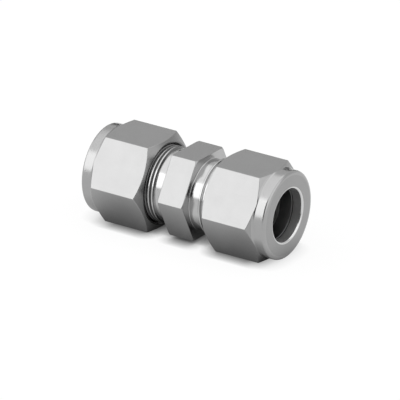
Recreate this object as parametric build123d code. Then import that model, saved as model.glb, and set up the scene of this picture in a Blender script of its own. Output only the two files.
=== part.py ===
from build123d import *
import math
import os

# Compression union that joins two tubes of one size end to end, in millimetres and degrees.
# The flow axis is X, the nuts rest on flats that face down, and the origin is the middle of the
# body's hexagon. Each end is worked out from the body outwards: the tube's socket and the cone at
# the body's mouth, the front ferrule in that cone, the back ferrule behind it, and the nut over both.

# Tube and passage
tube_diameter = 12.7
tube_clearance = 0.08           # around the tube, in the socket and in both ferrules
flow_diameter = 10.4
tube_stop = 3.2                 # from the middle to the step that stops the tube

# Body
hexagon_length = 7.1
hexagon_rise = 0.795            # flats above the thread's crest
hexagon_trim = 0.52             # what the corner chamfer takes off each corner
hexagon_turn = -2.3             # of the body's flats, against those of the nuts
neck_length = 2.7
neck_depth = 0.66               # neck below the thread's crest
neck_fillet = 0.25              # in the corner between hexagon and neck
thread_length = 11.8
thread_lead_in = 0.62           # even chamfer at the thread's free end
mouth_widening = 1.62           # from the socket's wall to the rim of the mouth
mouth_angle = 20                # of the mouth's cone, from the axis
lip_wall = 1.475                # from the rim of the mouth to the thread's crest

# Ferrules
seat_gap = 0.04                 # between two cones that seat on each other
nose_wall = 0.3                 # front ferrule at its nose
front_rim = 0.05                # front ferrule beyond the rim of the mouth
front_land_length = 2.4
recess_wall = 0.5               # front ferrule outside its recess
back_nose_wall = 0.25           # back ferrule at its nose
back_step = 0.1                 # back ferrule inside the front ferrule's land
back_gap = 0.1                  # between the two ferrules' flat faces
back_land_length = 1.2
back_tail_wall = 0.47           # back ferrule at its rear face
ferrule_angle = 45              # of the seat between the ferrules and of the nut's shoulder

# Nuts
nut_entry_clearance = 0.25      # around the tube, in the nut's mouth
thread_clearance = 0.08         # around the thread's crest
nut_wall = 1.5075               # flats over the threaded hole
cavity_clearance = 0.25         # around the front ferrule
cavity_length = 1.3             # plain hole between the shoulder and the thread's end
skirt_length = 10.75            # threaded hole, from its blind end to the inner face
countersink = 0.5               # of the threaded hole, at the inner face
entry_length = 2.61             # from the shoulder to the outer face
entry_chamfer = 0.5
face_margin = 0.66              # circle of the inner face, inside the flats
collar_step = 0.05              # round collar, inside the flats
collar_length = 3.15
collar_fillet = 0.7             # round the collar's outer edge, and in the corner at its root
chamfer_angle = 30              # of every chamfer over a hexagon's corners


def rise(width, angle):
    """Length along the axis in which a cone at this angle to the axis grows by this width."""
    return width / math.tan(math.radians(angle))


# Radii, from the tube outwards
tube_radius = tube_diameter / 2
flow_radius = flow_diameter / 2
socket_radius = tube_radius + tube_clearance
mouth_radius = socket_radius + mouth_widening
crest_radius = mouth_radius + lip_wall
neck_radius = crest_radius - neck_depth
body_flat = crest_radius + hexagon_rise
front_radius = mouth_radius + front_rim
back_radius = front_radius - back_step
entry_radius = tube_radius + nut_entry_clearance
cavity_radius = front_radius + cavity_clearance
hole_radius = crest_radius + thread_clearance
nut_flat = hole_radius + nut_wall
collar_radius = nut_flat - collar_step

# Places along the axis, from the middle outwards
hexagon_end = hexagon_length / 2
thread_start = hexagon_end + neck_length
body_end = thread_start + thread_length
mouth_start = body_end - rise(mouth_widening, mouth_angle)

# The front ferrule's cone is the mouth's cone, moved in by the seat gap
cone_inset = seat_gap / math.cos(math.radians(mouth_angle))
nose_radius = socket_radius + nose_wall
nose_start = body_end - rise(mouth_radius - cone_inset - nose_radius, mouth_angle)
land_start = body_end + rise(front_radius - mouth_radius + cone_inset, mouth_angle)
front_end = land_start + front_land_length
recess_radius = front_radius - recess_wall
recess_start = front_end - rise(recess_radius - socket_radius, ferrule_angle)

# The back ferrule's nose stands off that recess by the same gap
seat_shift = seat_gap / math.sin(math.radians(ferrule_angle))
back_nose_radius = socket_radius + back_nose_wall
back_start = recess_start + rise(back_nose_wall, ferrule_angle) + seat_shift
flange_start = front_end + back_gap
flange_foot = back_nose_radius + (flange_start - back_start) * math.tan(math.radians(ferrule_angle))
flange_end = flange_start + back_land_length
tail_radius = socket_radius + back_tail_wall
back_end = flange_end + rise(back_radius - tail_radius, ferrule_angle)

# The nut's shoulder stands off the back ferrule's tail by the same gap
shoulder_end = flange_end + rise(back_radius - entry_radius, ferrule_angle) + seat_shift
shoulder_start = shoulder_end - rise(cavity_radius - entry_radius, ferrule_angle)
cavity_start = shoulder_start - cavity_length
hole_end = cavity_start - rise(hole_radius - cavity_radius, ferrule_angle)
nut_start = hole_end - skirt_length
nut_end = shoulder_end + entry_length
collar_start = nut_end - collar_length


def corner(flat):
    """Radius to a hexagon's corners, from the distance to its flats."""
    return flat / math.cos(math.radians(30))


def turned(points, rounds=()):
    """Solid turned about X from (along, radius) points; rounds holds (point number, fillet radius)."""
    profile = make_face(Polyline(*points, close=True))
    for number, radius in rounds:
        along, out = points[number]
        nearest = profile.vertices().sort_by_distance((along, out, 0))[0]
        profile = fillet(nearest, radius)
    return revolve(profile, Axis.X)


def hexagon_bar(flat, start, end):
    """Hexagonal bar along X, with a flat on top and one underneath."""
    section = Plane.YZ.offset(start) * RegularPolygon(flat, 6, major_radius=False)
    return extrude(section, end - start)


def mirrored(points):
    """The same (along, radius) points on the other side of the middle, in the opposite order."""
    return [(-along, radius) for along, radius in reversed(points)]


def make_body():
    """Hexagon, necks and thread blanks in one piece, with a passage that is a socket at each end."""
    bar = hexagon_bar(body_flat, -hexagon_end, hexagon_end)
    bar_corner = corner(body_flat)
    face_radius = bar_corner - hexagon_trim
    clear_radius = bar_corner + hexagon_trim
    chamfer = (clear_radius - face_radius) * math.tan(math.radians(chamfer_angle))
    half_envelope = [(hexagon_end - chamfer, clear_radius), (hexagon_end, face_radius), (hexagon_end, 0)]
    bar = bar & turned(mirrored(half_envelope) + half_envelope)
    bar = Rot(hexagon_turn, 0, 0) * bar

    half_shank = [
        (hexagon_end, crest_radius),
        (hexagon_end, neck_radius),
        (thread_start, neck_radius),
        (thread_start, crest_radius),
        (body_end - thread_lead_in, crest_radius),
        (body_end, crest_radius - thread_lead_in),
        (body_end, 0),
    ]
    count = len(half_shank)
    neck_corners = (count - 2, count + 1)
    shank = turned(mirrored(half_shank) + half_shank, [(number, neck_fillet) for number in neck_corners])

    half_passage = [
        (tube_stop, flow_radius),
        (tube_stop, socket_radius),
        (mouth_start, socket_radius),
        (body_end, mouth_radius),
        (body_end, 0),
    ]
    passage = turned(mirrored(half_passage) + half_passage)
    return bar + shank - passage


def make_front_ferrule():
    """Long cone that seats in the body's mouth, with a recess behind it for the back ferrule."""
    return turned([
        (nose_start, socket_radius),
        (nose_start, nose_radius),
        (land_start, front_radius),
        (front_end, front_radius),
        (front_end, recess_radius),
        (recess_start, socket_radius),
    ])


def make_back_ferrule():
    """Short ring with a nose in the front ferrule's recess and a tail against the nut's shoulder."""
    return turned([
        (back_start, socket_radius),
        (back_start, back_nose_radius),
        (flange_start, flange_foot),
        (flange_start, back_radius),
        (flange_end, back_radius),
        (back_end, tail_radius),
        (back_end, socket_radius),
    ])


def make_nut():
    """Hexagon with a round collar, hollow from a threaded skirt to a shoulder and the tube's entry."""
    face_radius = nut_flat - face_margin
    clear_radius = corner(nut_flat) + collar_step
    slope = math.tan(math.radians(chamfer_angle))
    envelope = turned(
        [
            (nut_start, 0),
            (nut_start, face_radius),
            (nut_start + (clear_radius - face_radius) * slope, clear_radius),
            (collar_start - (clear_radius - collar_radius) * slope, clear_radius),
            (collar_start, collar_radius),
            (nut_end, collar_radius),
            (nut_end, 0),
        ],
        rounds=[(4, collar_fillet), (5, collar_fillet)],
    )
    hollow = turned([
        (nut_start, 0),
        (nut_start, hole_radius + countersink),
        (nut_start + countersink, hole_radius),
        (hole_end, hole_radius),
        (cavity_start, cavity_radius),
        (shoulder_start, cavity_radius),
        (shoulder_end, entry_radius),
        (nut_end - entry_chamfer, entry_radius),
        (nut_end, entry_radius + entry_chamfer),
        (nut_end, 0),
    ])
    return (hexagon_bar(nut_flat, nut_start, nut_end) & envelope) - hollow


def save(solid, name):
    """Writes one named piece."""
    export_step(solid, os.path.join("parts", name + ".step"))


os.makedirs("parts", exist_ok=True)
save(make_body(), "union_body")
for piece, make in (("front_ferrule", make_front_ferrule), ("back_ferrule", make_back_ferrule), ("nut", make_nut)):
    for side, half_turn in (("right", 0), ("left", 180)):
        save(Rot(0, 0, half_turn) * make(), piece + "_" + side)

print("overall length", round(2 * nut_end, 2), "nut flats", round(2 * nut_flat, 3))
print("body flats", round(2 * body_flat, 2), "body length", round(2 * body_end, 2))
print("nut from", round(nut_start, 3), "to", round(nut_end, 3), "shoulder at", round(shoulder_end, 3))
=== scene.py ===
"""Looks of a compression union: machined stainless steel on a white floor, in plain studio light.

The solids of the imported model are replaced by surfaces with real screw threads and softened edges.
Every piece is a closed profile carried round the flow axis. The fitting's sizes are in millimetres
until a mesh is made of them, and the studio's are in metres.
"""

import logging
import math
from dataclasses import dataclass, field
from enum import Enum

import bpy
import numpy as np
from mathutils import Matrix, Vector


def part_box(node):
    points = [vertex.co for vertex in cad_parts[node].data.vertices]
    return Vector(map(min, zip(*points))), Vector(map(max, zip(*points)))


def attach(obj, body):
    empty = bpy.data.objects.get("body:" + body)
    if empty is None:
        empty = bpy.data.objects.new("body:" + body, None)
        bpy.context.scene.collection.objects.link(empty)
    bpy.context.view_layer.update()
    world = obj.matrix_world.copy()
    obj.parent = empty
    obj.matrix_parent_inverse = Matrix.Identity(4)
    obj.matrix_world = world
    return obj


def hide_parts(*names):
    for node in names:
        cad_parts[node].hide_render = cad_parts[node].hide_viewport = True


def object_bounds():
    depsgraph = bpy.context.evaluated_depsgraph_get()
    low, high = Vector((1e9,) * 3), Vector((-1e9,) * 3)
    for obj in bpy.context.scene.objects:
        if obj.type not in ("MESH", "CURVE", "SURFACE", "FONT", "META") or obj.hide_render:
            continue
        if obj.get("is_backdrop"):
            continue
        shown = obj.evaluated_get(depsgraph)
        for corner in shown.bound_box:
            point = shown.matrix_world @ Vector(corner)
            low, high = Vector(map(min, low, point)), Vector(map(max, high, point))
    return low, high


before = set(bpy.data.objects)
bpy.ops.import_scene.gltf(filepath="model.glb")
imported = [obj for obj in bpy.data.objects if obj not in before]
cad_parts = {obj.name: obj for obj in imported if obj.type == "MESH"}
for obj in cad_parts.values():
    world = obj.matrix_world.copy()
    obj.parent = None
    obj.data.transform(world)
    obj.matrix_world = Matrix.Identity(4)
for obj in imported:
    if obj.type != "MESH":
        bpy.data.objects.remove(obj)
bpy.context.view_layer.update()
MM = 0.001
FULL_TURN = 2 * math.pi
SIXTH_TURN = math.pi / 3
# Vertices that round to the same step are joined.
JOINING_STEPS_PER_MM = 1e5
# The least values that something is divided by, and the sine under which a bend is straight.
TINY_LENGTH = 1e-9
TINY_SINE = 1e-6
TINY_AREA = 1e-20
STRAIGHT_SINE = 1e-4
FERRULE_COLUMNS = 129
FERRULE_EDGE = 0.04
log = logging.getLogger("union")


class Side(Enum):
    """End of the union; the value is the sign of X there."""

    RIGHT = 1
    LEFT = -1

    @property
    def word(self) -> str:
        """Name of the side as the nodes spell it."""
        return self.name.lower()


class Finish(Enum):
    """How a stretch of surface was made, except that the groove and inner-face slots carry painted
    shade; the value is its material slot on a piece.
    """

    FLAT = 0
    TURNED = 1
    FACE = 2
    INNER = 3
    NECK = 4
    GROOVE = 5
    EDGE = 6
    ENTRY = 7
    BORE = 8


class Grain(Enum):
    """Direction in which the tool marks of a finish run."""

    ALONG = "along"
    AROUND = "around"
    RINGS = "rings"


def linked(name: str, data: bpy.types.ID) -> bpy.types.Object:
    """Makes an object and links it to the scene.

    Args:
        name: Name of the object.
        data: Its mesh, lamp or camera.

    Returns:
        The object.
    """
    made = bpy.data.objects.new(name, data)
    bpy.context.scene.collection.objects.link(made)
    return made


def computed(tree: bpy.types.NodeTree, operation: str,
             *values: bpy.types.NodeSocket | float) -> bpy.types.NodeSocket:
    """Adds a math node.

    Args:
        tree: Node tree to add to.
        operation: Name of the operation.
        values: Its inputs, each a socket or a number.

    Returns:
        The result.
    """
    node = tree.nodes.new("ShaderNodeMath")
    node.operation = operation
    for socket, value in zip(node.inputs, values):
        if isinstance(value, float):
            socket.default_value = value
        else:
            tree.links.new(value, socket)
    return node.outputs["Value"]


def mixed(tree: bpy.types.NodeTree, share: bpy.types.NodeSocket, first: bpy.types.NodeSocket,
          second: bpy.types.NodeSocket) -> bpy.types.NodeSocket:
    """Adds a mix of two shaders.

    Args:
        tree: Node tree to add to.
        share: Share of the second shader.
        first: Shader at a share of 0.
        second: Shader at a share of 1.

    Returns:
        The mixed shader.
    """
    mix = tree.nodes.new("ShaderNodeMixShader")
    tree.links.new(share, mix.inputs["Fac"])
    tree.links.new(first, mix.inputs[1])
    tree.links.new(second, mix.inputs[2])
    return mix.outputs["Shader"]


def matt(name: str, tone: float) -> bpy.types.Material:
    """Makes a grey material with no gloss.

    Args:
        name: Name of the material.
        tone: Its grey, from 0 to 1.

    Returns:
        The material.
    """
    material = bpy.data.materials.new(name)
    material.use_nodes = True
    shader = material.node_tree.nodes["Principled BSDF"]
    shader.inputs["Base Color"].default_value = (tone, tone, tone, 1)
    shader.inputs["Roughness"].default_value = 1.0
    shader.inputs["Specular IOR Level"].default_value = 0.0
    return material


@dataclass(frozen=True)
class Steel:
    """Machined stainless steel: a metal with fine tool marks and faint clouding."""

    name: str
    tone: float
    roughness: float
    grain: Grain
    marks_per_mm: float
    mark_depth: float
    mark_detail: float = 2.0
    mark_shortening: float = 0.02
    roughness_swing: float = 0.15
    clouding: float = 0.02
    clouds_per_mm: float = 0.25
    cloud_detail: float = 3.0
    cloud_span: tuple[float, float] = (0.3, 0.7)

    def material(self) -> bpy.types.Material:
        """Builds the node material.

        Returns:
            A material that reads Object coordinates only.
        """
        material = bpy.data.materials.new(self.name)
        material.use_nodes = True
        tree = material.node_tree
        shader = tree.nodes["Principled BSDF"]
        shader.inputs["Metallic"].default_value = 1.0
        place = tree.nodes.new("ShaderNodeTexCoord").outputs["Object"]
        self._clouded_colour(tree, place, shader)
        marks = self._marks(tree, place)
        spread = tree.nodes.new("ShaderNodeMapRange")
        spread.inputs["To Min"].default_value = self.roughness * (1 - self.roughness_swing)
        spread.inputs["To Max"].default_value = self.roughness * (1 + self.roughness_swing)
        tree.links.new(marks, spread.inputs["Value"])
        tree.links.new(spread.outputs["Result"], shader.inputs["Roughness"])
        bump = tree.nodes.new("ShaderNodeBump")
        bump.inputs["Strength"].default_value = self.mark_depth
        bump.inputs["Distance"].default_value = MM / self.marks_per_mm
        tree.links.new(marks, bump.inputs["Height"])
        tree.links.new(bump.outputs["Normal"], shader.inputs["Normal"])
        return material

    def _clouded_colour(self, tree: bpy.types.NodeTree, place: bpy.types.NodeSocket,
                        shader: bpy.types.Node) -> None:
        """Varies the tone a little over a few millimetres.

        Args:
            tree: Node tree of the material.
            place: Object coordinates.
            shader: Node whose base colour is fed.
        """
        cloud = tree.nodes.new("ShaderNodeTexNoise")
        cloud.inputs["Scale"].default_value = self.clouds_per_mm / MM
        cloud.inputs["Detail"].default_value = self.cloud_detail
        tree.links.new(place, cloud.inputs["Vector"])
        ramp = tree.nodes.new("ShaderNodeValToRGB")
        gains = (1 - self.clouding, 1 + self.clouding)
        for element, at, gain in zip(ramp.color_ramp.elements, self.cloud_span, gains):
            element.position = at
            level = self.tone * gain
            element.color = (level, level, level, 1)
        tree.links.new(cloud.outputs["Fac"], ramp.inputs["Fac"])
        tree.links.new(ramp.outputs["Color"], shader.inputs["Base Color"])

    def _marks(self, tree: bpy.types.NodeTree, place: bpy.types.NodeSocket) -> bpy.types.NodeSocket:
        """Draws noise that varies quickly across the tool marks and hardly or never along them.

        Args:
            tree: Node tree of the material.
            place: Object coordinates.

        Returns:
            The height of the marks, from 0 to 1.
        """
        split = tree.nodes.new("ShaderNodeSeparateXYZ")
        tree.links.new(place, split.inputs["Vector"])
        join = tree.nodes.new("ShaderNodeCombineXYZ")
        if self.grain is Grain.ALONG:
            slow = computed(tree, "MULTIPLY", split.outputs["X"], self.mark_shortening)
            tree.links.new(slow, join.inputs["X"])
            tree.links.new(split.outputs["Y"], join.inputs["Y"])
            tree.links.new(split.outputs["Z"], join.inputs["Z"])
        elif self.grain is Grain.AROUND:
            tree.links.new(split.outputs["X"], join.inputs["X"])
        else:
            flat = tree.nodes.new("ShaderNodeCombineXYZ")
            tree.links.new(split.outputs["Y"], flat.inputs["Y"])
            tree.links.new(split.outputs["Z"], flat.inputs["Z"])
            from_axis = tree.nodes.new("ShaderNodeVectorMath")
            from_axis.operation = "LENGTH"
            tree.links.new(flat.outputs["Vector"], from_axis.inputs[0])
            tree.links.new(from_axis.outputs["Value"], join.inputs["X"])
        noise = tree.nodes.new("ShaderNodeTexNoise")
        noise.inputs["Scale"].default_value = self.marks_per_mm / MM
        noise.inputs["Detail"].default_value = self.mark_detail
        tree.links.new(join.outputs["Vector"], noise.inputs["Vector"])
        return noise.outputs["Fac"]


@dataclass(frozen=True)
class Finishes:
    """The steel of each kind of surface, in the order of the Finish slots."""

    steels: tuple[Steel, ...] = (
        Steel("satin_flat", 0.33, 0.24, Grain.ALONG, 7.0, 0.05),
        Steel("turned_outside", 0.355, 0.24, Grain.AROUND, 6.0, 0.06),
        Steel("turned_face", 0.31, 0.24, Grain.RINGS, 6.0, 0.06),
        # Painted shade: the nut's inner chamfer, between nut and body, is darker than its chamfer at
        # the collar end.
        Steel("inner_face_shade", 0.23, 0.26, Grain.RINGS, 6.0, 0.06),
        Steel("polished_neck", 0.44, 0.18, Grain.AROUND, 8.0, 0.04),
        # Painted shade: the darkest steel, for the shade in thread grooves, countersinks and a
        # ferrule face down the hole.
        Steel("cut_groove", 0.19, 0.35, Grain.AROUND, 8.0, 0.10),
        Steel("polished_edge", 0.60, 0.20, Grain.AROUND, 6.0, 0.04),
        Steel("reamed_entry", 0.60, 0.45, Grain.AROUND, 5.0, 0.20),
        Steel("bored_hole", 0.36, 0.22, Grain.AROUND, 5.0, 0.20),
    )

    def materials(self) -> list[bpy.types.Material]:
        """Makes one material for each Finish slot."""
        return [steel.material() for steel in self.steels]


@dataclass(frozen=True)
class Hexagon:
    """Cross-section of a hexagonal bar with slightly rounded corners.

    Columns of a mesh are placed on it: most on the flats, a few on each corner's arc.
    """

    flat: float
    corner_round: float = 0.16
    turn: float = 0.0
    flat_steps: int = 22
    corner_steps: int = 4

    def angles(self) -> np.ndarray:
        """Angles about the axis, one full turn, with the first repeated at the end.

        Returns:
            Angles in radians. Each sixth holds a corner's arc and then a flat.
        """
        half = self._corner_half_angle()
        arc = np.linspace(-half, half, self.corner_steps, endpoint=False)
        face = np.linspace(half, SIXTH_TURN - half, self.flat_steps, endpoint=False)
        sixth = np.concatenate([arc, face])
        turns = np.arange(6)[:, None] * SIXTH_TURN
        ring = (turns + sixth[None, :]).ravel()
        return np.append(ring, ring[0] + FULL_TURN) + math.radians(self.turn)

    def radii(self, angles: np.ndarray) -> np.ndarray:
        """Distance from the axis to the outline.

        A flat is its distance over the cosine of the angle from its middle. A corner is the far
        crossing of a ray with the circle that touches both flats.

        Args:
            angles: Angles about the axis in radians.

        Returns:
            One radius for each angle.
        """
        half_sixth = SIXTH_TURN / 2
        shifted = angles - math.radians(self.turn) + half_sixth
        from_corner = np.abs(shifted % SIXTH_TURN - half_sixth)
        on_flat = self.flat / np.cos(half_sixth - from_corner)
        centre = (self.flat - self.corner_round) / math.cos(half_sixth)
        reach = np.maximum(self.corner_round ** 2 - (centre * np.sin(from_corner)) ** 2, 0)
        on_arc = centre * np.cos(from_corner) + np.sqrt(reach)
        return np.where(from_corner < self._corner_half_angle(), on_arc, on_flat)

    def _corner_half_angle(self) -> float:
        """Angle from a corner to the end of its arc."""
        half_sixth = SIXTH_TURN / 2
        inset = self.flat - self.corner_round
        return half_sixth - math.atan(inset * math.tan(half_sixth) / self.flat)


@dataclass(frozen=True)
class ScrewThread:
    """Right-hand thread with straight flanks, as a height over place and angle.

    The stations are the mesh rows of one pitch, closest together where the flanks bend.
    """

    pitch: float
    root: float
    crest: float
    crest_share: float = 0.38
    root_share: float = 0.06
    softness: float = 0.10
    stations: tuple[float, ...] = (0, 0.08, 0.14, 0.175, 0.205, 0.24, 0.33, 0.41, 0.45,
                                   0.5, 0.55, 0.59, 0.67, 0.76, 0.795, 0.825, 0.86, 0.92)

    def radius(self, along: np.ndarray, angle: np.ndarray, reference: float) -> np.ndarray:
        """Radius of the thread at a place.

        The distance to the nearest crest, in pitches, goes down the flank in a straight line from
        crest to root, with both bends eased by a hyperbola.

        Args:
            along: Place along the axis.
            angle: Angle about the axis in radians.
            reference: Place of a crest at angle zero.

        Returns:
            The radius at each place.
        """
        turns = (along - reference) / self.pitch - angle / FULL_TURN
        distance = np.abs(turns - np.round(turns))
        flank = 0.5 - self.root_share / 2 - self.crest_share / 2
        height = (0.5 - self.root_share / 2 - distance) / flank
        height = 1 - self._eased(1 - self._eased(height))
        return self.root + (self.crest - self.root) * height

    def _eased(self, value: np.ndarray) -> np.ndarray:
        """The value where it is above zero and zero below, with the bend between them eased."""
        return (value + np.sqrt(value ** 2 + self.softness ** 2)) / 2

    def rows(self, start: float, end: float, angles: np.ndarray,
             reference: float) -> tuple[np.ndarray, list[Finish]]:
        """Places and finishes of the mesh rows, which follow the helix and stop at both ends.

        Row by row the place is the angle's share of a pitch further on, held between the ends, so a
        row at the last angle lies where a row one pitch later lies at the first.

        Args:
            start: Lowest place of the thread.
            end: Highest place of the thread.
            angles: Angles of the mesh columns.
            reference: Place of a crest at angle zero.

        Returns:
            Array of places, rows by columns, and the finish after each row.
        """
        first = math.floor((start - reference) / self.pitch - angles[-1] / FULL_TURN) - 1
        last = math.ceil((end - reference) / self.pitch - angles[0] / FULL_TURN) + 1
        turns = (np.arange(first, last)[:, None] + np.array(self.stations)[None, :]).ravel()
        places = reference + self.pitch * (turns[:, None] + angles[None, :] / FULL_TURN)
        on_crest = np.abs(turns - np.round(turns)) < self.crest_share / 2
        # Rows off the crest take the dark groove steel, a painted shade in the thread's grooves.
        finishes = [Finish.NECK if crest else Finish.GROOVE for crest in on_crest]
        return np.clip(places, start, end), finishes


@dataclass
class TurnedSurface:
    """Closed surface: a profile of stations carried round the X axis over the same columns."""

    angles: np.ndarray
    bend_steps: int = 3
    longest_reach: float = 0.45
    along: list[np.ndarray] = field(default_factory=list)
    out: list[np.ndarray] = field(default_factory=list)
    rounds: list[float] = field(default_factory=list)
    finishes: list[Finish] = field(default_factory=list)

    def add(self, along: float | np.ndarray, out: float | np.ndarray, finish: Finish,
            rounding: float = 0.0) -> None:
        """Adds one station.

        Args:
            along: Place along the axis, one for all columns or one for each.
            out: Radius, likewise.
            finish: Finish of the surface from here to the next station.
            rounding: Radius that softens the bend at this station.
        """
        self.along.append(np.broadcast_to(along, self.angles.shape).astype(float))
        self.out.append(np.broadcast_to(out, self.angles.shape).astype(float))
        self.rounds.append(rounding)
        self.finishes.append(finish)

    def add_rows(self, along: np.ndarray, out: np.ndarray, finishes: list[Finish]) -> None:
        """Adds many stations at once, from the last row back to the first.

        Args:
            along: Places, rows by columns.
            out: Radii, rows by columns.
            finishes: The finish of each row.
        """
        for places, radii, finish in zip(along[::-1], out[::-1], finishes[::-1]):
            self.add(places, radii, finish)

    def build(self, name: str, side: Side, materials: list[bpy.types.Material]) -> bpy.types.Object:
        """Makes the mesh object.

        A vertex is (place, radius times cosine, radius times sine); the left end is the right one
        turned half a turn about Z. Vertices that coincide are joined, and faces left with fewer
        than three corners are dropped, which closes the seam and the ends of a thread.

        Args:
            name: Name of the object.
            side: End of the union the piece is on.
            materials: One material for each Finish.

        Returns:
            The object, at the origin, with its place in its mesh.
        """
        along, out, finishes = self._softened()
        cosine, sine = np.cos(self.angles), np.sin(self.angles)
        sign = side.value
        points = np.stack([sign * along, sign * out * cosine, out * sine], axis=-1)
        rows, columns = along.shape
        slots = np.repeat([finish.value for finish in finishes], columns - 1)
        keys = np.round(points.reshape(-1, 3) * JOINING_STEPS_PER_MM).astype(np.int64)
        _, kept, joined = np.unique(keys, axis=0, return_index=True, return_inverse=True)
        vertices = points.reshape(-1, 3)[kept] * MM
        quads = joined.ravel()[self._quads(rows, columns)]
        faces, slots = self._clean(quads, slots)
        return _mesh_object(name, vertices, faces, slots, materials)

    @staticmethod
    def _quads(rows: int, columns: int) -> np.ndarray:
        """Corner numbers of the faces of a grid whose last row is followed by its first.

        Args:
            rows: Number of rows.
            columns: Number of columns.

        Returns:
            Four corners a face, row by row.
        """
        row = np.arange(rows)[:, None]
        column = np.arange(columns - 1)[None, :]
        here = row * columns + column
        below = (row + 1) % rows * columns + column
        return np.stack([here, below, below + 1, here + 1], axis=-1).reshape(-1, 4)

    @staticmethod
    def _clean(quads: np.ndarray, slots: np.ndarray) -> tuple[list, np.ndarray]:
        """Drops collapsed faces and turns quads with one collapsed side into triangles.

        Args:
            quads: Corner numbers, four a face.
            slots: Material slot of each face.

        Returns:
            Faces as lists of corners, and their slots.
        """
        equal_next = quads == np.roll(quads, -1, axis=1)
        crossed = (quads[:, 0] == quads[:, 2]) | (quads[:, 1] == quads[:, 3])
        collapsed = equal_next.sum(axis=1)
        whole = (collapsed == 0) & ~crossed
        single = (collapsed == 1) & ~crossed
        corner = np.argmax(equal_next[single], axis=1)
        order = (corner[:, None] + np.array([[1, 2, 3]])) % 4
        triangles = np.take_along_axis(quads[single], order, axis=1)
        faces = quads[whole].tolist() + triangles.tolist()
        return faces, np.concatenate([slots[whole], slots[single]])

    def _softened(self) -> tuple[np.ndarray, np.ndarray, list[Finish]]:
        """Replaces each station that has a rounding by an arc that touches both neighbours.

        Returns:
            Places and radii, rows by columns, and the finish after each row.
        """
        points = np.stack([np.array(self.along), np.array(self.out)], axis=-1)
        before, after = np.roll(points, 1, axis=0), np.roll(points, -1, axis=0)
        rows, finishes = [], []
        for number, (rounding, finish) in enumerate(zip(self.rounds, self.finishes)):
            arc = [points[number]]
            if rounding > 0:
                arc = self._arc(before[number], points[number], after[number], rounding)
            rows.extend(arc)
            finishes.extend([finish] * len(arc))
        grid = np.array(rows)
        return grid[..., 0], grid[..., 1], finishes

    def _arc(self, before: np.ndarray, here: np.ndarray, after: np.ndarray,
             rounding: float) -> list[np.ndarray]:
        """Points of a fillet in the plane of each column.

        The arc's reach along both sides is the radius over the tangent of half the bend's inner
        angle, and at most longest_reach of the shorter side. Its points turn evenly from one side
        to the other.

        Args:
            before: Previous station, columns by two.
            here: Station to round.
            after: Next station.
            rounding: Wanted radius.

        Returns:
            The arc's rows, from the previous side to the next.
        """
        to_before, to_after = before - here, after - here
        length_before = np.linalg.norm(to_before, axis=1, keepdims=True)
        length_after = np.linalg.norm(to_after, axis=1, keepdims=True)
        to_before = to_before / np.maximum(length_before, TINY_LENGTH)
        to_after = to_after / np.maximum(length_after, TINY_LENGTH)
        cosine = np.clip((to_before * to_after).sum(axis=1, keepdims=True), -1, 1)
        half = np.arccos(cosine) / 2
        reach = rounding / np.maximum(np.tan(half), TINY_SINE)
        reach = np.minimum(reach, self.longest_reach * np.minimum(length_before, length_after))
        radius = reach * np.tan(half)
        middle = to_before + to_after
        middle = middle / np.maximum(np.linalg.norm(middle, axis=1, keepdims=True), TINY_LENGTH)
        centre = here + middle * radius / np.maximum(np.sin(half), TINY_SINE)
        start = here + to_before * reach - centre
        end = here + to_after * reach - centre
        swing = math.pi - 2 * half
        rows = []
        for share in np.linspace(0, 1, self.bend_steps + 1):
            weight_start = np.sin((1 - share) * swing)
            weight_end = np.sin(share * swing)
            arc = (start * weight_start + end * weight_end) / np.maximum(np.sin(swing), TINY_SINE)
            straight = start * (1 - share) + end * share
            rows.append(centre + np.where(np.sin(swing) > STRAIGHT_SINE, arc, straight))
        return rows


def _mesh_object(name: str, vertices: np.ndarray, faces: list, slots: np.ndarray,
                 materials: list[bpy.types.Material]) -> bpy.types.Object:
    """Puts a computed surface into a mesh with outward faces and area-weighted normals.

    A face's weight in a corner's normal is its area, so broad flats stay flat and only the narrow
    bends beside them turn.

    Args:
        name: Name of the object.
        vertices: Coordinates in metres.
        faces: Lists of corner numbers.
        slots: Material slot of each face.
        materials: Materials in the order of the slots.

    Returns:
        The linked object.
    """
    mesh = bpy.data.meshes.new(name)
    mesh.from_pydata(vertices.tolist(), [], faces)
    corners = np.array([face if len(face) == 4 else face + face[-1:] for face in faces])
    a, b, c, d = (vertices[corners[:, number]] for number in range(4))
    areas = np.cross(c - a, d - b) / 2
    volume = ((a + b + c + d) / 4 * areas).sum()
    if volume < 0:
        mesh.flip_normals()
        areas = -areas
    normals = np.zeros_like(vertices)
    for number in range(4):
        np.add.at(normals, corners[:, number], areas)
    normals /= np.maximum(np.linalg.norm(normals, axis=1, keepdims=True), TINY_AREA)
    mesh.polygons.foreach_set("material_index", slots.astype(np.int32))
    mesh.polygons.foreach_set("use_smooth", np.ones(len(faces), bool))
    for material in materials:
        mesh.materials.append(material)
    mesh.update()
    mesh.normals_split_custom_set_from_vertices(normals.tolist())
    return linked(name, mesh)


def slope(angle: float) -> float:
    """Tangent of an angle in degrees, for the cones: chamfers, mouth and ferrule."""
    return math.tan(math.radians(angle))


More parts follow.
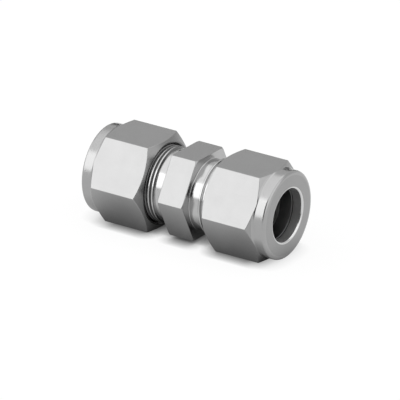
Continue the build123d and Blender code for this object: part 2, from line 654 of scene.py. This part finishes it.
@dataclass(frozen=True)
class ThreadFit:
    """The screw thread between body and nuts, with the clearance that keeps its flanks apart.

    The crest's place at angle zero differs from end to end, as the photograph shows.
    """

    pitch: float = 25.4 / 24
    crest: float = 9.525
    depth: float = 0.52
    clearance: float = 0.08
    right_crest: float = 0.99
    left_crest: float = 0.23

    @property
    def outside(self) -> ScrewThread:
        """Thread cut on the body."""
        return ScrewThread(self.pitch, self.crest - self.depth, self.crest)

    @property
    def inside(self) -> ScrewThread:
        """Thread cut in a nut: the same helix, wider by the clearance, with crests cut short."""
        root = self.crest - self.depth + 2 * self.clearance
        return ScrewThread(self.pitch, root, self.crest + self.clearance)

    def in_nut(self, side: Side) -> float:
        """Place of a crest at angle zero, measured outwards as a nut's profile is."""
        return self.right_crest if side is Side.RIGHT else self.left_crest

    def on_body(self, side: Side) -> float:
        """The same crest along the body, where the left one's half turn is half a pitch."""
        return self.right_crest if side is Side.RIGHT else -self.left_crest - self.pitch / 2


@dataclass
class UnionBody:
    """Hexagon, necks and threads in one turned piece, with a socket at each end of its passage."""

    thread: ThreadFit
    end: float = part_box("union_body")[1].x / MM
    hexagon: Hexagon = Hexagon(10.32, corner_round=0.12, turn=-2.3)
    hexagon_half: float = 3.55
    chamfer_start: float = 11.397
    chamfer_angle: float = 30.0
    least_bevel: float = 0.10
    face_edge: float = 0.06
    flat_edge: float = 0.10
    neck: float = 8.865
    neck_fillet: float = 0.2
    thread_start: float = 6.25
    thread_foot: float = 0.08
    lead_in: float = 0.62
    mouth: float = 8.05
    mouth_angle: float = 20.0
    socket: float = 6.43
    socket_edge: float = 0.1
    stop: float = 3.2
    stop_fillet: float = 0.08
    flow: float = 5.2
    flow_edge: float = 0.12

    def build(self, materials: list[bpy.types.Material]) -> bpy.types.Object:
        """Makes the body.

        Args:
            materials: One material for each Finish.

        Returns:
            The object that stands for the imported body.
        """
        surface = TurnedSurface(self.hexagon.angles())
        self._passage(surface)
        self._shank(surface, Side.RIGHT)
        self._hexagon(surface)
        self._shank(surface, Side.LEFT)
        piece = surface.build("body_machined", Side.RIGHT, materials)
        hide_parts("union_body")
        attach(piece, "fitting_body")
        return piece

    def _passage(self, surface: TurnedSurface) -> None:
        """Passage from the left mouth to the right one: cone, socket, stop, flow bore and back.

        Args:
            surface: Surface to add to.
        """
        mouth_start = self.end - (self.mouth - self.socket) / slope(self.mouth_angle)
        half = [(self.end, self.mouth, self.face_edge),
                (mouth_start, self.socket, self.socket_edge),
                (self.stop, self.socket, self.stop_fillet), (self.stop, self.flow, self.flow_edge)]
        for along, out, rounding in half:
            surface.add(-along, out, Finish.BORE, rounding)
        for along, out, rounding in reversed(half[1:]):
            surface.add(along, out, Finish.BORE, rounding)
        surface.add(self.end, self.mouth, Finish.FACE, self.face_edge)

    def _shank(self, surface: TurnedSurface, side: Side) -> None:
        """Thread and neck of one end, inwards on the right and outwards on the left.

        The thread's end is trimmed by its lead-in cone. Its grooves carry a painted shade, the dark
        groove
            finish, on the left alone: on the right the whole thread is as bright as its neck and
                takes its finish.

        Args:
            surface: Surface to add to.
            side: End of the union.
        """
        fit = self.thread
        ends = sorted([side.value * self.thread_start, side.value * self.end])
        places, finishes = fit.outside.rows(*ends, surface.angles, fit.on_body(side))
        radii = fit.outside.radius(places, surface.angles[None, :], fit.on_body(side))
        radii = np.minimum(radii, fit.crest - self.lead_in + (self.end - np.abs(places)))
        if side is Side.RIGHT:
            surface.add_rows(places, radii, [Finish.NECK] * len(finishes))
        neck = [(self.thread_start, self.thread_foot), (self.hexagon_half, self.neck_fillet)]
        for along, rounding in neck[::side.value]:
            surface.add(side.value * along, self.neck, Finish.NECK, rounding)
        # On the left the groove rows keep their dark steel, a painted shade; on the right there is
        # none.
        if side is Side.LEFT:
            surface.add_rows(places, radii, finishes)

    def _hexagon(self, surface: TurnedSurface) -> None:
        """Flats and the chamfer cones that trim the hexagon's corners at both faces.

        Args:
            surface: Surface to add to.
        """
        radii = self.hexagon.radii(surface.angles)
        foot = np.minimum(self.chamfer_start, radii - self.least_bevel)
        cone = (radii - self.chamfer_start) * slope(self.chamfer_angle)
        depth = np.maximum(cone, self.least_bevel)
        surface.add(self.hexagon_half, foot, Finish.FACE, self.face_edge)
        surface.add(self.hexagon_half - depth, radii, Finish.FLAT, self.flat_edge)
        surface.add(-self.hexagon_half + depth, radii, Finish.FACE, self.flat_edge)
        surface.add(-self.hexagon_half, foot, Finish.FACE, self.face_edge)


@dataclass
class Nut:
    """Hexagon nut with a round collar, hollow from its threaded skirt to the tube's entry."""

    thread: ThreadFit
    start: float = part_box("nut_right")[0].x / MM
    end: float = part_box("nut_right")[1].x / MM
    flat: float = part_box("nut_right")[1].z / MM
    face_margin: float = 0.66
    face_edge: float = 0.08
    flat_edge: float = 0.14
    chamfer_angle: float = 30.0
    collar_step: float = 0.05
    collar_length: float = 3.15
    collar_round: float = 0.7
    root_share: float = 0.6
    face_round: float = 1.05
    round_steps: int = 6
    countersink: float = 0.5
    blind_end: float = 19.156
    cavity_start: float = 20.411
    cavity: float = 8.35
    cavity_edge: float = 0.1
    shoulder_end: float = 23.461
    shoulder_edge: float = 0.06
    entry: float = 6.6
    entry_round: float = 0.5

    def build(self, side: Side, materials: list[bpy.types.Material]) -> bpy.types.Object:
        """Makes the nut of one end.

        Args:
            side: End of the union.
            materials: One material for each Finish.

        Returns:
            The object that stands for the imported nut.
        """
        hexagon = Hexagon(self.flat)
        surface = TurnedSurface(hexagon.angles())
        self._outside(surface, hexagon.radii(surface.angles))
        self._inside(surface, side)
        piece = surface.build(f"nut_{side.word}_machined", side, materials)
        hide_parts(f"nut_{side.word}")
        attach(piece, f"nut_{side.word}")
        return piece

    def _outside(self, surface: TurnedSurface, radii: np.ndarray) -> None:
        """Inner face, chamfer, flats, outer cone, collar and outer face, from the middle outwards.

        The collar's edge is a quarter of an ellipse, longer across the face than along the axis,
        and the entry's edge is a quarter of a circle.

        Args:
            surface: Surface to add to.
            radii: Radius of the hexagon in each column.
        """
        face = self.flat - self.face_margin
        rake = slope(self.chamfer_angle)
        # The inner chamfer, between nut and body, takes a darker steel: a painted shade.
        surface.add(self.start, face, Finish.INNER, self.face_edge)
        surface.add(self.start + (radii - face) * rake, radii, Finish.FLAT, self.flat_edge)
        self._collar_root(surface, radii)
        collar = self.flat - self.collar_step
        bends = np.linspace(0, math.pi / 2, self.round_steps + 1)[:-1]
        for bend in bends:
            surface.add(self.end - self.collar_round * (1 - math.sin(bend)),
                        collar - self.face_round * (1 - math.cos(bend)), Finish.TURNED)
        surface.add(self.end, collar - self.face_round, Finish.FACE)
        for bend in bends:
            surface.add(self.end - self.entry_round * (1 - math.cos(bend)),
                        self.entry + self.entry_round * (1 - math.sin(bend)), Finish.EDGE)
        surface.add(self.end - self.entry_round, self.entry, Finish.ENTRY)

    def _collar_root(self, surface: TurnedSurface, radii: np.ndarray) -> None:
        """Cone over the hexagon's corners and the hollow round that leads it into the collar.

        The round touches the collar, where its normal is radial, and the cone, where the normal has
        swung by a right angle less the cone's angle. In each column the flat ends where it meets
        this profile. Where the hexagon stands too low for the whole round, only its share is used.

        Args:
            surface: Surface to add to.
            radii: Radius of the hexagon in each column.
        """
        collar = self.flat - self.collar_step
        cone_foot = self.end - self.collar_length
        rake = slope(self.chamfer_angle)
        swing = math.radians(90 - self.chamfer_angle)
        touch = cone_foot + self.collar_round * math.tan(swing / 2)
        whole = self.collar_round * (1 - math.cos(swing))

        def place(out: np.ndarray) -> np.ndarray:
            """Finds where the profile has a radius.

            Args:
                out: One radius for each column.

            Returns:
                Its places along the axis.
            """
            bend = np.arccos(np.clip(1 - (out - collar) / self.collar_round, math.cos(swing), 1))
            in_round = touch - self.collar_round * np.sin(bend)
            return np.where(out - collar < whole, in_round, cone_foot - (out - collar) * rake)

        foot = np.minimum(collar + whole, collar + (radii - collar) * self.root_share)
        first_bend = np.arccos(1 - (foot - collar) / self.collar_round)
        surface.add(place(radii), radii, Finish.FACE, self.flat_edge)
        surface.add(place(foot), foot, Finish.TURNED)
        for share in np.arange(1, self.round_steps + 1) / self.round_steps:
            bend = first_bend * (1 - share)
            surface.add(touch - self.collar_round * np.sin(bend),
                        collar + self.collar_round * (1 - np.cos(bend)), Finish.TURNED)

    def _inside(self, surface: TurnedSurface, side: Side) -> None:
        """Entry, shoulder, cavity, thread and countersink, from the outer face inwards.

        The thread's crests are trimmed by the countersink at its start and by a cone at its end.

        Args:
            surface: Surface to add to.
            side: End of the union.
        """
        fit = self.thread
        shoulder_start = self.shoulder_end - (self.cavity - self.entry)
        surface.add(self.shoulder_end, self.entry, Finish.BORE, self.shoulder_edge)
        surface.add(shoulder_start, self.cavity, Finish.BORE, self.cavity_edge)
        surface.add(self.cavity_start, self.cavity, Finish.BORE, self.cavity_edge)
        reference = fit.in_nut(side)
        places, _ = fit.inside.rows(self.start, self.blind_end, surface.angles, reference)
        radii = fit.inside.radius(places, surface.angles[None, :], reference)
        hole = fit.crest + fit.clearance
        radii = np.maximum(radii, hole + self.countersink - (places - self.start))
        radii = np.maximum(radii, hole - (self.blind_end - places))
        # The nut's thread and countersink take the dark groove steel, a painted shade inside the
        # nut.
        surface.add_rows(places, radii, [Finish.GROOVE] * len(places))


@dataclass
class FrontFerrule:
    """Cone that seats in the body's mouth, with a recess behind it for the back ferrule."""

    start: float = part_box("front_ferrule_right")[0].x / MM
    end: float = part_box("front_ferrule_right")[1].x / MM
    rim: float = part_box("front_ferrule_right")[1].z / MM
    bore: float = 6.43
    nose: float = 6.73
    cone_angle: float = 20.0
    recess: float = 7.6

    def build(self, side: Side, materials: list[bpy.types.Material]) -> bpy.types.Object:
        """Makes the front ferrule of one end.

        Args:
            side: End of the union.
            materials: One material for each Finish.

        Returns:
            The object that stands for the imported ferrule.
        """
        land_start = self.start + (self.rim - self.nose) / slope(self.cone_angle)
        recess_start = self.end - (self.recess - self.bore)
        profile = [(self.start, self.bore), (self.start, self.nose), (land_start, self.rim),
                   (self.end, self.rim), (self.end, self.recess), (recess_start, self.bore)]
        return _ferrule("front_ferrule", side, profile, materials)


@dataclass
class BackFerrule:
    """Short ring with a nose in the front ferrule's recess and a tail on the nut's shoulder."""

    start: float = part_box("back_ferrule_right")[0].x / MM
    end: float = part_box("back_ferrule_right")[1].x / MM
    rim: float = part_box("back_ferrule_right")[1].z / MM
    bore: float = 6.43
    nose: float = 6.68
    tail: float = 6.9
    land: float = 1.2

    def build(self, side: Side, materials: list[bpy.types.Material]) -> bpy.types.Object:
        """Makes the back ferrule of one end.

        Args:
            side: End of the union.
            materials: One material for each Finish.

        Returns:
            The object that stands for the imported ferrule.
        """
        land_end = self.end - (self.rim - self.tail)
        land_start = land_end - self.land
        foot = self.nose + land_start - self.start
        profile = [(self.start, self.bore), (self.start, self.nose), (land_start, foot),
                   (land_start, self.rim), (land_end, self.rim), (self.end, self.tail),
                   (self.end, self.bore)]
        return _ferrule("back_ferrule", side, profile, materials)


def _ferrule(kind: str, side: Side, profile: list[tuple[float, float]],
             materials: list[bpy.types.Material]) -> bpy.types.Object:
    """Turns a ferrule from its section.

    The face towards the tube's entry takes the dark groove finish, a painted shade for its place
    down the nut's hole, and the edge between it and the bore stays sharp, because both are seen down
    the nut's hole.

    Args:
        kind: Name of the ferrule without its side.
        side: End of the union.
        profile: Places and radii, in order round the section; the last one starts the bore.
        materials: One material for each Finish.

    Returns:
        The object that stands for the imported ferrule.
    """
    surface = TurnedSurface(np.linspace(0, FULL_TURN, FERRULE_COLUMNS))
    for along, out in profile:
        surface.add(along, out, Finish.TURNED, FERRULE_EDGE)
    # The face towards the entry takes the dark groove steel, a painted shade down the nut's hole.
    surface.finishes[-2] = Finish.GROOVE
    surface.finishes[-1] = Finish.BORE
    surface.rounds[-1] = 0.0
    piece = surface.build(f"{kind}_{side.word}_turned", side, materials)
    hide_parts(f"{kind}_{side.word}")
    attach(piece, f"ferrules_{side.word}")
    return piece


def direction(azimuth: float, elevation: float) -> Vector:
    """Unit vector from the object; azimuth 0 points to -Y and 90 to +X, in degrees."""
    a, e = math.radians(azimuth), math.radians(elevation)
    return Vector((math.sin(a) * math.cos(e), -math.cos(a) * math.cos(e), math.sin(e)))


def facing(azimuth: float, elevation: float, distance: float) -> Matrix:
    """Finds the placement that looks back at the origin, with its top up.

    Args:
        azimuth: Azimuth of the place in degrees.
        elevation: Elevation of the place in degrees.
        distance: Distance from the origin.

    Returns:
        The placement.
    """
    back = direction(azimuth, elevation)
    right = Vector((0, 0, 1)).cross(back).normalized()
    rows = Matrix((right, back.cross(right), back)).transposed().to_4x4()
    return Matrix.Translation(back * distance) @ rows


@dataclass(frozen=True)
class Softbox:
    """Rectangular lamp that faces the object, placed by its direction from it."""

    name: str
    azimuth: float
    elevation: float
    width: float
    height: float
    radiance: float
    distance: float = 0.9

    def build(self) -> None:
        """Makes the lamp; its power is its radiance times its area times pi."""
        data = bpy.data.lights.new(self.name, "AREA")
        data.shape = "RECTANGLE"
        data.size, data.size_y = self.width, self.height
        data.energy = self.radiance * self.width * self.height * math.pi
        lamp = linked(self.name, data)
        lamp.matrix_world = facing(self.azimuth, self.elevation, self.distance)
        lamp.visible_camera = False


@dataclass(frozen=True)
class Flag:
    """Dark card that faces the object, placed by its direction from it, and only mirrored in it."""

    name: str
    azimuth: float
    elevation: float
    width: float
    height: float
    distance: float = 0.85

    def build(self, material: bpy.types.Material) -> None:
        """Makes the card.

        Args:
            material: What the card is made of.
        """
        across, up = self.width / 2, self.height / 2
        corners = [(-across, -up, 0), (across, -up, 0), (across, up, 0), (-across, up, 0)]
        place = facing(self.azimuth, self.elevation, self.distance)
        mesh = bpy.data.meshes.new(self.name)
        mesh.from_pydata([place @ Vector(corner) for corner in corners], [], [(0, 1, 2, 3)])
        mesh.materials.append(material)
        card = linked(self.name, mesh)
        card.visible_camera = False
        card.visible_diffuse = False
        card.visible_shadow = False
        card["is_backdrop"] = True


@dataclass
class Studio:
    """Floor, world, lamps, flags and camera.

    The reaches of the contact shadow and the places where it thins out are in millimetres.
    """

    floor_drop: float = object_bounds()[0].z
    floor_size: float = 6.0
    floor_cells: int = 8
    floor_tone: float = 0.92
    contact_reach: float = 3.6
    mirrored_reach: float = 9.0
    contact_power: float = 1.35
    thinning_start: float = 19.0
    thinning_end: float = 25.0
    thinned_share: float = 0.75
    seen_white: float = 0.92
    white: float = 1.0
    world_light: float = 0.65
    softboxes: tuple[Softbox, ...] = (
        Softbox("key", -33.0, 25.0, 0.75, 0.65, 1.60),
        Softbox("top", 0.0, 88.0, 1.3, 1.6, 0.85),
        Softbox("side", 92.0, 24.0, 1.2, 0.7, 0.75),
        Softbox("fill", -78.0, 25.0, 0.6, 0.65, 0.95),
    )
    flags: tuple[Flag, ...] = (
        Flag("front_flag", 14.0, 25.0, 0.75, 0.65),
        Flag("back_flag", -152.0, 5.0, 0.80, 0.24),
    )
    flag_tone: float = 0.02
    camera_azimuth: float = 32.156
    camera_elevation: float = 24.085
    camera_roll: float = 0.75
    camera_distance: float = 1.527
    camera_sees_to: float = 20.0
    pixels_per_radian: float = 6339.0
    aim_right: float = 0.000973
    aim_down: float = 0.002209
    picture_width: int = 400

    def build(self) -> None:
        """Makes everything round the object and sets the view transform."""
        self._floor()
        self._world()
        for softbox in self.softboxes:
            softbox.build()
        black = matt("black_flag", self.flag_tone)
        for flag in self.flags:
            flag.build(black)
        self._camera()
        bpy.context.scene.view_settings.view_transform = "Standard"

    def _background_share(self, tree: bpy.types.NodeTree) -> bpy.types.NodeSocket:
        """Finds which rays see a surface rather than gather light from it.

        Args:
            tree: Node tree to add to.

        Returns:
            Value of 1 where a camera, glossy or transmitted ray arrives, and 0 elsewhere.
        """
        rays = tree.nodes.new("ShaderNodeLightPath")
        share = rays.outputs["Is Camera Ray"]
        for kind in ("Is Glossy Ray", "Is Transmission Ray"):
            share = computed(tree, "MAXIMUM", share, rays.outputs[kind])
        return share

    def _world(self) -> None:
        """Makes the world, white where it is seen and softer as a light."""
        world = bpy.data.worlds.new("studio")
        bpy.context.scene.world = world
        world.use_nodes = True
        tree = world.node_tree
        light = tree.nodes["Background"]
        light.inputs["Strength"].default_value = self.world_light
        light.inputs["Color"].default_value = (1, 1, 1, 1)
        seen = tree.nodes.new("ShaderNodeBackground")
        seen.inputs["Strength"].default_value = self.white
        mix = mixed(tree, self._background_share(tree), light.outputs["Background"],
                    seen.outputs["Background"])
        tree.links.new(mix, tree.nodes["World Output"].inputs["Surface"])

    def _floor(self) -> None:
        """Makes the floor that the nuts rest on, as a grid of quads."""
        half = self.floor_size / 2
        cells = self.floor_cells
        grid = np.linspace(-half, half, cells + 1)
        x, y = np.meshgrid(grid, grid)
        corners = np.stack([x.ravel(), y.ravel(), np.full(x.size, self.floor_drop)], axis=1)
        row, column = np.meshgrid(np.arange(cells), np.arange(cells), indexing="ij")
        near = (row * (cells + 1) + column).ravel()
        far = near + cells + 1
        faces = np.stack([near, near + 1, far + 1, far], axis=1)
        mesh = bpy.data.meshes.new("floor")
        mesh.from_pydata(corners.tolist(), [], faces.tolist())
        floor = linked("floor", mesh)
        mesh.materials.append(self._floor_material())
        floor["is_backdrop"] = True

    def _floor_material(self) -> bpy.types.Material:
        """Pale matt surface that is seen mostly as white, darkened close to what stands on it.

        Returns:
            The material, a mix of the lit floor and of a white one that keeps the contact shadow.
        """
        material = matt("pale_floor", self.floor_tone)
        tree = material.node_tree
        seen = tree.nodes.new("ShaderNodeEmission")
        tree.links.new(self._openness(tree), seen.inputs["Strength"])
        share = computed(tree, "MULTIPLY", self._background_share(tree), self.seen_white)
        lit = tree.nodes["Principled BSDF"]
        mix = mixed(tree, share, lit.outputs["BSDF"], seen.outputs["Emission"])
        tree.links.new(mix, tree.nodes["Material Output"].inputs["Surface"])
        return material

    def _openness(self, tree: bpy.types.NodeTree) -> bpy.types.NodeSocket:
        """How open the floor is to the light, from 0 under the fitting to 1 beside it.

        The darkness is that of the space near the floor, over a short reach where it is seen and a
        longer one where it is mirrored in the metal, and where it is seen it thins out under the
        collars.

        Args:
            tree: Node tree of the floor's material.

        Returns:
            The strength of the white that is seen there.
        """
        seen = tree.nodes.new("ShaderNodeLightPath").outputs["Is Camera Ray"]
        reach = tree.nodes.new("ShaderNodeMapRange")
        reach.inputs["To Min"].default_value = self.mirrored_reach * MM
        reach.inputs["To Max"].default_value = self.contact_reach * MM
        tree.links.new(seen, reach.inputs["Value"])
        space = tree.nodes.new("ShaderNodeAmbientOcclusion")
        tree.links.new(reach.outputs["Result"], space.inputs["Distance"])
        light = computed(tree, "POWER", space.outputs["AO"], self.contact_power)
        split = tree.nodes.new("ShaderNodeSeparateXYZ")
        place = tree.nodes.new("ShaderNodeTexCoord").outputs["Object"]
        tree.links.new(place, split.inputs["Vector"])
        from_middle = computed(tree, "ABSOLUTE", split.outputs["X"])
        thinning = tree.nodes.new("ShaderNodeMapRange")
        tree.links.new(from_middle, thinning.inputs["Value"])
        thinning.inputs["From Min"].default_value = self.thinning_start * MM
        thinning.inputs["From Max"].default_value = self.thinning_end * MM
        thinning.inputs["To Max"].default_value = self.thinned_share
        thinned = computed(tree, "MULTIPLY", thinning.outputs["Result"], seen)
        dark = computed(tree, "SUBTRACT", 1.0, light)
        shade = computed(tree, "MULTIPLY", dark, computed(tree, "SUBTRACT", 1.0, thinned))
        return computed(tree, "SUBTRACT", 1.0, shade)

    def _camera(self) -> None:
        """Makes the camera at the photograph's angle, aimed a little beside the union's middle."""
        data = bpy.data.cameras.new("camera")
        data.lens = self.pixels_per_radian / self.picture_width * data.sensor_width
        data.clip_end = self.camera_sees_to
        camera = linked("camera", data)
        roll = Matrix.Rotation(math.radians(self.camera_roll), 4, "Z")
        place = facing(self.camera_azimuth, self.camera_elevation, self.camera_distance) @ roll
        right, up = place.to_3x3().col[0], place.to_3x3().col[1]
        place.translation += right * self.aim_right - up * self.aim_down
        camera.matrix_world = place
        bpy.context.scene.camera = camera


def main() -> None:
    """Builds the pieces in order and reports each one."""
    logging.basicConfig(level=logging.INFO, format="%(name)s: %(message)s")
    materials = Finishes().materials()
    thread = ThreadFit()
    pieces = [UnionBody(thread).build(materials)]
    for side in Side:
        pieces.append(Nut(thread).build(side, materials))
        pieces.append(FrontFerrule().build(side, materials))
        pieces.append(BackFerrule().build(side, materials))
    for piece in pieces:
        log.info("%s: %d faces", piece.name, len(piece.data.polygons))
    Studio().build()
    log.info("studio built")


if __name__ == "__main__":
    main()
